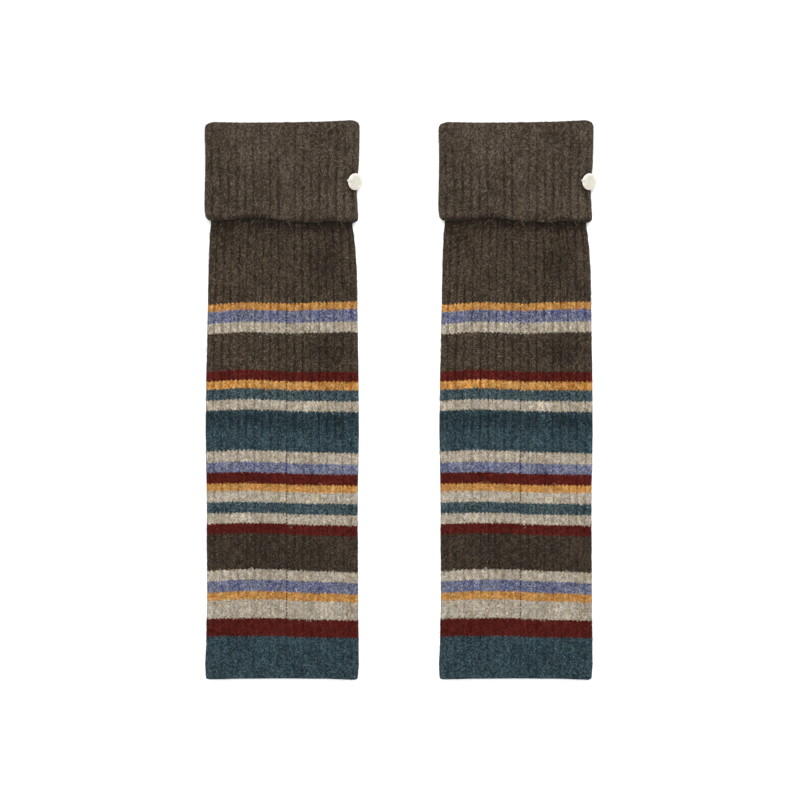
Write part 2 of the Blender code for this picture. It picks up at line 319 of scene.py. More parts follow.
# The drawn relief: the V of each stitch and the felt over it.
STITCH_SLANT = 1.1
STITCH_SOFTNESS = 0.6
FELT_NOISE = (1100.0, 3.0, 0.7)
FELT_SHARE = 0.9
BUMP_STRENGTH = 0.55
BUMP_DEPTH = 0.0005

# Finishes: dull wool with a faint sheen, polished shell with a soft coat, and the matt floor.
WOOL_FINISH = {
    "Roughness": 0.95,
    "Specular IOR Level": 0.08,
    "Sheen Weight": 0.02,
    "Sheen Roughness": 0.6,
    "Sheen Tint": (0.9, 0.87, 0.82, 1.0),
}
SHELL_FINISH = {
    "Roughness": 0.40,
    "Coat Weight": 0.2,
    "Coat Roughness": 0.15,
    "Subsurface Weight": 0.15,
    "Subsurface Scale": 0.002,
}
FLOOR_FINISH = {"Base Color": (0.97, 0.97, 0.97, 1.0), "Roughness": 0.9, "Specular IOR Level": 0.0}

# The camera looks straight down, and its frame is this wide at the middle of the cuffs.
FRAME_WIDTH = 0.7205
FRAME_MIDDLE = (-0.0003, 0.0004)
CAMERA_LENS = 300.0
SENSOR_WIDTH = 36.0
CAMERA_HEIGHT = CUFF_HEIGHT / 2 + FRAME_WIDTH * CAMERA_LENS / SENSOR_WIDTH


def linear(color, gain=1.0):
    """A colour given in sRGB numbers up to 255, as Blender's linear RGBA."""
    shares = [part / 255 for part in color]
    return (*[gain * ((share + 0.055) / 1.055) ** 2.4 for share in shares], 1.0)


def shade_color(wool, shade):
    """The colour of one of a wool's fibres, in linear RGBA."""
    return linear(getattr(WOOLS[wool], shade), WOOL_GAIN)


def eased(share):
    """A share from 0 to 1 that starts and ends gently."""
    share = np.clip(share, 0.0, 1.0)
    return share * share * (3 - 2 * share)


def from_table(rows, along):
    """Each column of a table at an array of heights, eased between the table's rows."""
    heights = np.array([row.along for row in rows])
    columns = np.array([row[1:] for row in rows])
    first = np.clip(np.searchsorted(heights, along, side="right") - 1, 0, len(rows) - 2)
    share = eased((along - heights[first]) / (heights[first + 1] - heights[first]))
    return (columns[first] + (columns[first + 1] - columns[first]) * share[:, None]).T


def sway(along, x):
    """How far each knitted row lies above its mean height."""
    columns = from_table(SWAYS, along)
    place = (np.clip(x / SWAY_REACH, -1.0, 1.0) + 1) / 2 * (len(columns) - 1)
    column = np.minimum(place.astype(int), len(columns) - 2)
    here = np.arange(len(along))
    share = eased(place - column)
    return columns[column, here] * (1 - share) + columns[column + 1, here] * share


def soft_noise(across, up, around, seed):
    """Smooth noise from -1 to 1. It repeats every so many steps across, and never upwards."""
    high = int(up.max()) + 3
    lattice = np.random.default_rng(seed).uniform(-1, 1, (around, high))
    column = np.floor(across).astype(int)
    row = np.floor(up).astype(int)
    right = eased(across - column)
    above = eased(up - row)
    near = lattice[column % around, row] * (1 - right) + lattice[(column + 1) % around, row] * right
    far = (
        lattice[column % around, row + 1] * (1 - right)
        + lattice[(column + 1) % around, row + 1] * right
    )
    return near * (1 - above) + far * above


def drift(kind, share, up, seed=0):
    """A smooth unevenness at places round a piece and up it."""
    across = share % 1.0 * kind.around
    rows = np.maximum(up, 0.0) / kind.length
    return kind.strength * soft_noise(across, rows, kind.around, seed + kind.seed)


def corner(step, radius):
    """How far a round corner or lip falls back at a step from its end."""
    rest = np.clip(radius - step, 0.0, radius)
    return radius - np.sqrt(radius * radius - rest * rest)


def flat_ring(share, left, right, low, high):
    """Points and outward normals round a flattened tube, from the seam clockwise: x, z, nx, nz."""
    radius = (high - low) / 2
    level = (high + low) / 2
    face = left + right - 2 * radius
    turn = math.pi * radius
    first = right - radius - SEAM_X
    way = share * 2 * (face + turn)
    bent = np.clip(way - first, 0, turn) + np.clip(way - first - turn - face, 0, turn)
    angle = bent / radius
    x = SEAM_X + np.minimum(way, first) - np.clip(way - first - turn, 0, face)
    x = x + np.maximum(way - first - 2 * turn - face, 0) + radius * np.sin(angle)
    return x, level + radius * np.cos(angle), np.sin(angle), np.cos(angle)


def rib_place(share, up, seed):
    """Which rib a point is on, and how far across it: the ribs wander a little."""
    wander = sum(drift(kind, share, up, seed) for kind in RIB_WANDERS)
    ends = eased(share * RIB_COUNT) * eased((1 - share) * RIB_COUNT)
    return share * RIB_COUNT + wander * ends


def rib_profile(rib, up, seed):
    """The height of the knit above the bottom of its sunk lines, as a share of a rib's height."""
    phase = rib % 1.0
    crown = eased(np.minimum(phase, 1 - phase) / VALLEY_SHARE)
    groove = GROOVE_DEPTH * np.exp(-(((phase - 0.5) / GROOVE_SHARE) ** 2))
    return (crown - groove) * (1 + drift(RIB_UNEVENNESS, rib / RIB_COUNT, up, seed))


def seam_distance(rib):
    """How many ribs each point lies from the seam, either way round."""
    return np.minimum(rib % RIB_COUNT, RIB_COUNT - rib % RIB_COUNT)


def knit_rise(share, up, nz, form):
    """How far the ribbed face stands out of the smooth outline. Underneath it only sinks in."""
    rib = rib_place(share, up, form.seed)
    profile = rib_profile(rib, up, form.seed)
    shown = eased(1 + nz / RIB_FADE)
    valley = VALLEY_DEPTH * form.relief(up) * (1 - profile)
    seam = form.seam_rise * np.exp(-((seam_distance(rib) / form.seam_share) ** 2))
    rise = RIB_HEIGHT + drift(SWELL, share, up, form.seed) - valley + seam
    return rise * shown - UNDERSIDE_DEPTH * (1 - profile) * (1 - shown)


def edge_rows(reach):
    """The heights of the rows of points that round an edge, closest together at its end."""
    return reach * (1 - np.cos(np.linspace(0, math.pi / 2, EDGE_ROWS)))


class Tube:
    """The striped tube, from its hem up into the cuff. Up is the height above the hem."""

    seed = 11
    top = FOLD_AXIS - PIECE_GAP
    reach = top
    # Where painted shade darkens the tube's wool.
    shade_patches = TUBE_PAINTED_SHADE
    seam_rise = -SEAM_DEPTH
    seam_share = SEAM_SHARE

    def relief(self, up):
        """The ribs stand out less and less towards the hem."""
        return HEM_RELIEF + (1 - HEM_RELIEF) * eased((up - HEM_FLAT) / HEM_REACH)

    def ridge(self, up):
        """How much the seam shows as a paler ridge."""
        return RIDGE_BELOW * eased((up - RIDGE_FOOT) / (CUFF_EDGE - RIDGE_FOOT))

    def wave(self, x, up):
        """The hem has no waves of its own."""
        return 0.0

    def outline(self, share, up, inner):
        """The smooth face, which climbs over the cuff's back: points and normals, x, y, z each."""
        left, right = from_table(TUBE_WIDTHS, up)
        low = TUBE_LIFT * eased((up - CLIMB_START) / (CLIMB_END - CLIMB_START))
        step = WALL if inner else 0.0
        side = RIB_HEIGHT + step + corner(up, HEM_CORNER)
        high = low + TUBE_HEIGHT - step
        x, z, nx, nz = flat_ring(share, left - side, right - side, low + step, high)
        return x, up, z, nx, np.zeros_like(nx), nz

    def rows(self):
        """The heights of the rows of points."""
        edge = edge_rows(HEM_ROWS_REACH)
        shown = np.arange(edge[-1] + EDGE_SPACING, SLEEVE_START, ROW_SPACING)
        hidden = np.arange(shown[-1] + ROW_SPACING, self.top, SLEEVE_SPACING)
        return np.concatenate([edge, shown, hidden, [self.top]])


class Cuff:
    """The turned-down cuff. Up is the way from its edge to the top, over the fold and inside."""

    seed = 29
    reach = CUFF_REACH
    # Where painted shade darkens the cuff's wool.
    shade_patches = CUFF_PAINTED_SHADE
    seam_rise = RIDGE_HEIGHT
    seam_share = RIDGE_SHARE

    def relief(self, up):
        """The ribs are stretched flatter towards the fold."""
        return FOLD_RELIEF + (1 - FOLD_RELIEF) * eased((CUFF_FLAP - up) / FOLD_REACH)

    def ridge(self, up):
        """How much the seam shows as a paler ridge: most at the edge, and not at all near the fold."""
        return eased((RIDGE_TOP - up) / RIDGE_TOP)

    def wave(self, x, up):
        """The edge isn't quite straight."""
        ragged = drift(EDGE_RAGGED, x / EDGE_SPAN + 0.5, np.zeros_like(x), self.seed)
        rise = from_table(EDGE_WAVES, x)[0] + ragged
        return rise * eased((EDGE_REACH - up) / EDGE_REACH)

    def outline(self, share, up, inner):
        """The smooth face, up the flap and round the fold: points and normals, x, y, z each."""
        turned = np.clip((up - CUFF_FLAP) / FOLD_RADIUS, 0.0, math.pi)
        over, rising = np.cos(turned), np.sin(turned)
        radius = FOLD_CREASE if inner else FOLD_RADIUS
        along = CUFF_EDGE + np.minimum(up, CUFF_FLAP)
        left, right = from_table(CUFF_WIDTHS, along)
        back_level = (TUBE_LIFT + WALL) / 2
        back_radius = back_level - WALL if inner else back_level
        below_top = np.maximum(CUFF_FLAP - up, 0) + FOLD_RADIUS - radius * rising
        side = RIB_HEIGHT + FOLD_RADIUS - radius * over
        side = side + corner(up, CUFF_CORNER) + corner(below_top, FOLD_CORNER)
        high = CUFF_HEIGHT - FOLD_RADIUS + radius * over
        low = back_level - back_radius * over
        x, z, nx, nz = flat_ring(share, left - side, right - side, low, high)
        return x, along + radius * rising, z, nx * over, rising, nz * over

    def rows(self):
        """The heights of the rows of points."""
        edge = edge_rows(CUFF_ROWS_REACH)
        flap = np.arange(edge[-1] + EDGE_SPACING, CUFF_FLAP, FLAP_SPACING)
        fold = CUFF_FLAP + FOLD_RADIUS * np.radians(np.array(FOLD_TURNS))
        return np.concatenate([edge, flap, fold])


def unit(vectors):
    """Vectors brought to a length of 1."""
    return vectors / np.maximum(np.linalg.norm(vectors, axis=1), 1e-9)[:, None]


def surface(form, share, up, rise=0.0, inner=False):
    """Points on a form's outer or inner face and their outward normals, one row for each.

    Below the edge, where up is less than 0, they hang off it.
    """
    share = share % 1.0
    hanging = np.minimum(up, 0.0)
    up = np.clip(up, 0.0, form.reach)
    outline = np.stack(form.outline(share, up, inner), 1)
    points, normals = outline[:, :3], outline[:, 3:]
    if not inner:
        lifted = rise + knit_rise(share, up, normals[:, 2], form) - corner(up, LIP_RADIUS)
        points = points + unit(normals) * lifted[:, None]
        points[:, 2] = np.maximum(points[:, 2] + DROOP * hanging, 0.0)
    x, y, _ = points.T
    points[:, 1] += sway(y, x) + hanging + form.wave(x, up)
    return points, normals


def ring_shares():
    """Where each ring of a shell has its points: more on the ribs that show than underneath."""
    shares = []
    for rib in range(RIB_COUNT):
        count = UNDER_RIB_POINTS if rib in UNDER_RIBS else RIB_POINTS
        shares.extend((rib + step / count) / RIB_COUNT for step in range(count))
    return np.array(shares)


def wall_points(form, shares, rows, inner):
    """A wall face's points, row after row."""
    share, up = np.meshgrid(shares, rows)
    points, _ = surface(form, share.ravel(), up.ravel(), inner=inner)
    return points


def seam_step(rib):
    """The rows meet a little lower on the seam's right than on its left."""
    return SEAM_STEP * np.exp(-rib / SEAM_STEP_REACH)


def knit_map(form, share, up):
    """Knit coordinates: ribs round the tube, and rows of stitches up it."""
    rib = rib_place(share, up, form.seed)
    return np.stack([rib, (up + seam_step(rib)) / STITCH_HEIGHT], 1)


def new_mesh(name, points, faces, materials, slots=None):
    """A mesh from arrays of points and of faces that all have as many corners."""
    mesh = bpy.data.meshes.new(name)
    corners = faces.shape[1]
    mesh.vertices.add(len(points))
    mesh.vertices.foreach_set("co", points.astype(np.float32).ravel())
    mesh.loops.add(faces.size)
    mesh.loops.foreach_set("vertex_index", faces.astype(np.int32).ravel())
    mesh.polygons.add(len(faces))
    mesh.polygons.foreach_set("loop_start", np.arange(0, faces.size, corners, dtype=np.int32))
    mesh.polygons.foreach_set("loop_total", np.full(len(faces), corners, dtype=np.int32))
    if slots is not None:
        mesh.polygons.foreach_set("material_index", slots.astype(np.int32))
    for material in materials:
        mesh.materials.append(material)
    mesh.update(calc_edges=True)
    mesh.validate()
    mesh.shade_smooth()
    return mesh


def add_layer(mesh, name, values):
    """Two numbers for each corner of a mesh, as a UV layer."""
    mesh.uv_layers.new(name=name).uv.foreach_set("vector", np.array(values, np.float32).ravel())


def wall_faces(rows, columns, start, inward):
    """Quads between the rows of a closed grid, and each corner's row and column on it."""
    row, column = np.meshgrid(np.arange(rows - 1), np.arange(columns), indexing="ij")
    row, column = row.ravel(), column.ravel()
    corner_rows = np.stack([row, row, row + 1, row + 1], 1)
    corner_columns = np.stack([column, column + 1, column + 1, column], 1)
    if inward:
        corner_rows = corner_rows[:, ::-1]
        corner_columns = corner_columns[:, ::-1]
    faces = start + corner_rows * columns + corner_columns % columns
    return faces, corner_rows, corner_columns


def between(ends, share):
    """A share laid out between two ends."""
    return ends[0] + (ends[1] - ends[0]) * share


def knit_shell(name, form, material):
    """A thin closed shell: the ribbed outside, the plain inside and the edges that join them."""
    outer_shares, outer_rows = ring_shares(), form.rows()
    walls = (
        (False, outer_shares, outer_rows, OUTER_STRIP),
        (True, outer_shares[::INNER_STEP], outer_rows[::-1], INNER_STRIP),
    )
    points, faces, share, up, across = [], [], [], [], []
    for inner, shares, rows, strip in walls:
        start = sum(len(group) for group in points)
        wall, corner_rows, corner_columns = wall_faces(len(rows), len(shares), start, inward=True)
        points.append(wall_points(form, shares, rows, inner))
        faces.append(wall)
        share.append(np.append(shares, 1.0)[corner_columns].ravel())
        up.append(rows[corner_rows].ravel())
        across.append(between(strip, share[-1]))
    mesh = new_mesh(name, np.concatenate(points), np.concatenate(faces), [material])
    share, up = np.concatenate(share), np.concatenate(up)
    add_layer(mesh, "knit", knit_map(form, share, up))
    add_layer(mesh, "OFBake", np.stack([np.concatenate(across), between(BAKE_RISE, up / form.reach)], 1))
    close_edges(mesh)
    return mesh


def close_edges(mesh):
    """Joins the outside to the inside at each end of a shell."""
    bm = bmesh.new()
    bm.from_mesh(mesh)
    rims = [edge for edge in bm.edges if edge.is_boundary]
    heights = [edge.verts[0].co.y for edge in rims]
    middle = (min(heights) + max(heights)) / 2
    for upper in (False, True):
        ends = [edge for edge, height in zip(rims, heights) if (height > middle) == upper]
        bmesh.ops.bridge_loops(bm, edges=ends)
    bm.to_mesh(mesh)
    bm.free()


def add_object(name, data):
    """A new object in the scene."""
    made = bpy.data.objects.new(name, data)
    bpy.context.scene.collection.objects.link(made)
    return made


def set_inputs(node, values):
    """Plain values or other nodes' outputs on a node's inputs, by name or number."""
    for key, value in values.items():
        if isinstance(value, bpy.types.NodeSocket):
            node.id_data.links.new(value, node.inputs[key])
        else:
            node.inputs[key].default_value = value


def add_node(tree, kind, inputs=None, **settings):
    """A new shader node with its settings and what its inputs are given."""
    made = tree.nodes.new(f"ShaderNode{kind}")
    for name, value in settings.items():
        setattr(made, name, value)
    set_inputs(made, inputs or {})
    return made


def nodes_of(name):
    """A new material's node tree and its Principled shader."""
    material = bpy.data.materials.new(name)
    material.use_nodes = True
    return material, material.node_tree, material.node_tree.nodes["Principled BSDF"]


def math_node(tree, operation, *values):
    """What a maths operation makes of numbers and other nodes' outputs."""
    return add_node(tree, "Math", dict(enumerate(values)), operation=operation).outputs[0]


def noise_node(tree, scale, detail, roughness=0.6, place=None):
    """Noise that is fixed to the object's own space, or to another place for each point."""
    place = place or add_node(tree, "TexCoord").outputs["Object"]
    inputs = {"Vector": place, "Scale": scale, "Detail": detail, "Roughness": roughness}
    return add_node(tree, "TexNoise", inputs).outputs["Fac"]


def range_node(tree, value, low, high, new_low, new_high):
    """A node's output eased from one range into another."""
    inputs = dict(enumerate((value, low, high, new_low, new_high)))
    return add_node(tree, "MapRange", inputs, interpolation_type="SMOOTHSTEP").outputs[0]


def tinted(tree, color, factor, tint, kind="MULTIPLY"):
    """A colour mixed with a tint by a factor that is a number or a node's output."""
    inputs = {0: factor, 6: color, 7: tint}
    return add_node(tree, "Mix", inputs, data_type="RGBA", blend_type=kind).outputs[2]


def gray(tree, value):
    """The gray of a node's output."""
    return add_node(tree, "CombineColor", {0: value, 1: value, 2: value}).outputs[0]


def knit_coordinates(tree):
    """The rib and the row of stitches at each point."""
    place = add_node(tree, "UVMap", uv_map="knit")
    parts = add_node(tree, "SeparateXYZ", {0: place.outputs["UV"]})
    return parts.outputs["X"], parts.outputs["Y"]


def stripe_masks(tree, rib, row, relief):
    """Where each stripe but the lowest has begun. The edges follow the stitches and the nap."""
    across = math_node(tree, "PINGPONG", math_node(tree, "MULTIPLY", rib, 2.0), 0.5)
    tooth = math_node(tree, "MULTIPLY_ADD", across, -TOOTH, TOOTH / 4)
    depth = math_node(tree, "MULTIPLY_ADD", relief, 1 - TOOTH_STEADY, TOOTH_STEADY)
    stitch = math_node(tree, "MULTIPLY", tooth, depth)
    noise = noise_node(tree, *EDGE_NOISE)
    rough = math_node(tree, "MULTIPLY_ADD", noise, EDGE_ROUGHNESS, -EDGE_ROUGHNESS / 2)
    height = math_node(tree, "ADD", math_node(tree, "ADD", row, stitch), rough)
    return [math_node(tree, "GREATER_THAN", height, stripe.top / STITCH_HEIGHT) for stripe in STRIPES[:-1]]


def stripe_color(tree, masks, part):
    """One of the fibre colours of the wool that each point is knitted in."""
    color = shade_color(STRIPES[0].wool, part)
    for mask, stripe in zip(masks, STRIPES[1:]):
        color = tinted(tree, color, mask, shade_color(stripe.wool, part), "MIX")
    return color


def streaks(tree, rib, row, across, along):
    """Noise drawn out up the knit: so many changes to a rib across and to a row of stitches up."""
    ways = {0: math_node(tree, "MULTIPLY", rib, across), 1: math_node(tree, "MULTIPLY", row, along)}
    place = add_node(tree, "CombineXYZ", ways).outputs[0]
    return noise_node(tree, 1.0, 2.0, 0.5, place)


def flecks(tree, layer):
    """A layer's strength where it follows fine noise."""
    return range_node(tree, noise_node(tree, *layer.noise), *layer[1:])


def streaked(tree, rib, row, layer):
    """A layer's strength where it follows streaks."""
    return range_node(tree, streaks(tree, rib, row, *layer.noise), *layer[1:])


def heathered(tree, wool, rib, row, relief):
    """Mixed wool: its five colours in flecks and streaks, and painted shade in lines between ribs.

    There is no such line along the seam.
    """
    color = tinted(tree, wool.body, streaked(tree, rib, row, WARM_CAST), wool.warm, "MIX")
    color = tinted(tree, color, streaked(tree, rib, row, COOL_CAST), wool.cool, "MIX")
    color = tinted(tree, color, flecks(tree, DARK_FLECKS), wool.dark, "MIX")
    color = tinted(tree, color, flecks(tree, PALE_FLECKS), wool.pale, "MIX")
    color = tinted(tree, color, 1.0, gray(tree, flecks(tree, CLUMPS)))
    color = tinted(tree, color, 1.0, gray(tree, streaked(tree, rib, row, STREAKS)))
    # Painted shade in the sunk lines between ribs: stronger where the ribs stand out more, none at the
    # seam.
    around = math_node(tree, "PINGPONG", rib, RIB_COUNT / 2)
    away = range_node(tree, around, SHADE_LINE_START, RIDGE_SHARE, 0.0, 1.0)
    valley_shade = range_node(tree, math_node(tree, "PINGPONG", rib, 0.5), *SHADE_LINE_SHARE, 1.0, 0.0)
    for share in (streaked(tree, rib, row, SHADE_LINE_BREAKS), relief, away):
        valley_shade = math_node(tree, "MULTIPLY", valley_shade, share)
    return tinted(tree, color, 1.0, gray(tree, math_node(tree, "SUBTRACT", 1.0, valley_shade)))


def with_painted_shade(tree, color, rib, row, shade_patches):
    """The colour with each patch's painted shade on it."""
    beyond = math_node(tree, "GREATER_THAN", rib, RIB_COUNT / 2)
    turned = math_node(tree, "MULTIPLY_ADD", beyond, -RIB_COUNT, rib)
    x = math_node(tree, "MULTIPLY_ADD", turned, ROUND_TUBE / RIB_COUNT, SEAM_X)
    up = math_node(tree, "MULTIPLY", row, STITCH_HEIGHT)
    ragged = flecks(tree, SHADE_PATCH_EDGE)
    # Painted shade: each patch darkens the colour towards its middle.
    for shade_patch in shade_patches:
        parts = [
            math_node(tree, "DIVIDE", math_node(tree, "SUBTRACT", x, shade_patch.x), shade_patch.reach_x),
            math_node(tree, "DIVIDE", math_node(tree, "SUBTRACT", up, shade_patch.up), shade_patch.reach_up),
        ]
        squares = [math_node(tree, "MULTIPLY", part, part) for part in parts]
        away = math_node(tree, "SQRT", math_node(tree, "ADD", *squares))
        away = math_node(tree, "ADD", away, ragged)
        shade = range_node(tree, away, SHADE_PATCH_MIDDLE, 1.0, shade_patch.shade, 1.0)
        color = tinted(tree, color, 1.0, gray(tree, shade))
    return color


def painted_shade_tone(shade_patches, share, up):
    """How much the patches' painted shade lowers the tone of loose fibres."""
    x = ((share + 0.5) % 1.0 - 0.5) * ROUND_TUBE + SEAM_X
    tone = np.zeros_like(up)
    ragged = drift(SHADE_PATCH_DRIFT, share, up)
    # Painted shade in the loose fibres: their tone drops in each patch.
    for shade_patch in shade_patches:
        away = np.hypot((x - shade_patch.x) / shade_patch.reach_x, (up - shade_patch.up) / shade_patch.reach_up)
        tone += shade_patch.tone * eased((1 - away - ragged) / (1 - SHADE_PATCH_MIDDLE))
    return tone


def stitch_height(tree, rib, row):
    """The V of each stitch, as a height from 0 to 1."""
    across = math_node(tree, "PINGPONG", math_node(tree, "MULTIPLY", rib, 2.0), 0.5)
    leg = math_node(tree, "SINE", math_node(tree, "MULTIPLY", across, math.tau))
    climb = math_node(tree, "SUBTRACT", row, math_node(tree, "MULTIPLY", across, STITCH_SLANT))
    wave = math_node(tree, "SINE", math_node(tree, "MULTIPLY", climb, math.pi))
    strand = math_node(tree, "POWER", math_node(tree, "ABSOLUTE", wave), STITCH_SOFTNESS)
    return math_node(tree, "MULTIPLY", strand, leg)


def wool_bump(tree, rib, row):
    """The lean of the surface: stitches under felt."""
    felt = math_node(tree, "MULTIPLY", noise_node(tree, *FELT_NOISE), FELT_SHARE)
    height = math_node(tree, "ADD", stitch_height(tree, rib, row), felt)
    inputs = {"Height": height, "Strength": BUMP_STRENGTH, "Distance": BUMP_DEPTH}
    return add_node(tree, "Bump", inputs).outputs["Normal"]


def knit_material(name, striped):
    """The wool of a shell: the tube's is striped and the cuff's is plain."""
    material, tree, shader = nodes_of(name)
    rib, row = knit_coordinates(tree)
    if striped:
        low = HEM_FLAT / STITCH_HEIGHT
        high = (HEM_FLAT + HEM_REACH) / STITCH_HEIGHT
        relief = range_node(tree, row, low, high, HEM_RELIEF, 1.0)
        masks = stripe_masks(tree, rib, row, relief)
        wool = Wool(*[stripe_color(tree, masks, part) for part in Wool._fields])
        shade_patches = TUBE_PAINTED_SHADE
    else:
        low = (CUFF_FLAP - FOLD_REACH) / STITCH_HEIGHT
        high = CUFF_FLAP / STITCH_HEIGHT
        relief = range_node(tree, row, low, high, 1.0, FOLD_RELIEF)
        wool = Wool(*[shade_color("cuff", part) for part in Wool._fields])
        shade_patches = CUFF_PAINTED_SHADE
    # The patches' painted shade goes on the wool's colour last.
    color = with_painted_shade(tree, heathered(tree, wool, rib, row, relief), rib, row, shade_patches)
    set_inputs(shader, {"Base Color": color, "Normal": wool_bump(tree, rib, row), **WOOL_FINISH})
    return material


def fibre_materials(wools):
    """Every shade of every wool, in the order of the wools and then of the shades."""
    made = []
    for wool in wools:
        for shade in Wool._fields:
            material, _, shader = nodes_of(f"fibre_{wool}_{shade}")
            set_inputs(shader, {"Base Color": shade_color(wool, shade), **WOOL_FINISH})
            made.append(material)
    return made


def edge_distance(up):
    """How far each height lies from the nearest stripe edge."""
    tops = np.array([stripe.top for stripe in STRIPES])
    return np.abs(up[:, None] - tops).min(1)


def wool_at(up):
    """The number of the wool that each height is knitted in."""
    tops = np.array([stripe.top for stripe in STRIPES])
    wools = np.array([STRIPE_WOOLS.index(stripe.wool) for stripe in STRIPES])
    return wools[np.minimum(np.searchsorted(tops, up), len(STRIPES) - 1)]


# Loose fibres: the nap, and fewer and longer hairs. Each has so many bends along it.
Nap = namedtuple("Nap", "count bends low high lengths widths curl rise tone seed")
TUBE_NAP = Nap(
    84000, 1, 0.0006, CUFF_EDGE + 0.002, (0.0018, 0.0044), (0.00014, 0.00032), 0.42, 0.00030, 0.0, 5
)
CUFF_NAP = TUBE_NAP._replace(count=28000, low=-0.0010, high=CUFF_FLAP + 2.2 * FOLD_RADIUS, seed=6)
TUBE_HAIR = TUBE_NAP._replace(
    count=3200, bends=4, low=0.0060, lengths=(0.0040, 0.0085), widths=(0.00012, 0.00024), curl=0.60,
    rise=0.00045, tone=0.7, seed=7,
)
CUFF_HAIR = TUBE_HAIR._replace(count=1300, low=0.0, high=CUFF_NAP.high, seed=8)

# Most of them lie on the faces that show from above, within so much of the way round from the seam.
TOP_SHARE = 0.84
TOP_HALF = 0.262

# How far they stray from the way up the knit and from lying flat, in radians, and how far their ends
# drop as a share of their rise.
ANGLE_SPREAD = 0.85
ROLL_SPREAD = 0.5
END_DROP = 0.6

# Each is pale, dark or neither by its tone, a number spread about 0. Those that are neither are warmer
# in some places and cooler in others, by their cast.
PALE_ABOVE = 0.50
DARK_BELOW = -0.50
CAST_FROM = 0.20
CAST_SPREAD = 0.3
CAST_DRIFTS = (Drift(0.7, 96, 0.012, 22), Drift(0.6, 24, 0.016, 24))
TONE_DRIFTS = (Drift(0.55, 24, 0.011, 21), Drift(0.25, 10, 0.030, 23))

# The tone is lower between ribs, as painted shade in the sunk lines, and higher on the ridge of the seam:
# down to the cuff's edge from so far up the cuff, and more weakly in the tube above its foot.
VALLEY_SHADE_TONE = -1.75
VALLEY_SHADE_HALF = 0.15
VALLEY_SHADE_MEAN = 0.7
VALLEY_SHADE_DRIFT = Drift(0.6, RIB_COUNT, 0.018, 20)
RIDGE_TONE = 1.5
RIDGE_TOP = 0.065
RIDGE_FOOT = 0.345
RIDGE_BELOW = 0.8


def nap_shares(rng, count):
    """Places round the tube, most of them on the faces that show from above."""
    top = rng.uniform(-TOP_HALF, TOP_HALF, count) % 1.0
    under = rng.uniform(TOP_HALF, 1 - TOP_HALF, count)
    return np.where(rng.uniform(0, 1, count) < TOP_SHARE, top, under)


def fibre_shades(rng, form, nap, share, up):
    """Which shade each fibre has: darker between ribs and in the shade patches, as painted shade."""
    rib = share % 1.0 * RIB_COUNT
    # Painted shade: fibres between ribs are darker.
    valley = np.exp(-((np.minimum(rib % 1, 1 - rib % 1) / VALLEY_SHADE_HALF) ** 2))
    valley *= VALLEY_SHADE_MEAN + drift(VALLEY_SHADE_DRIFT, share, up, nap.seed)
    cast = rng.normal(0, CAST_SPREAD, nap.count)
    cast += sum(drift(kind, share, up, nap.seed) for kind in CAST_DRIFTS)
    tone = rng.normal(nap.tone, 1.0, nap.count)
    tone += sum(drift(kind, share, up, nap.seed) for kind in TONE_DRIFTS)
    tone += VALLEY_SHADE_TONE * valley * form.relief(np.maximum(up, 0.0))
    tone += painted_shade_tone(form.shade_patches, share, up)
    ridge = np.exp(-((seam_distance(rib) / RIDGE_SHARE) ** 2))
    tone += RIDGE_TONE * ridge * form.ridge(up)
    body, pale, dark, warm, cool = range(len(Wool._fields))
    casts = np.where(cast > CAST_FROM, warm, np.where(cast < -CAST_FROM, cool, body))
    return np.where(tone > PALE_ABOVE, pale, np.where(tone < DARK_BELOW, dark, casts))


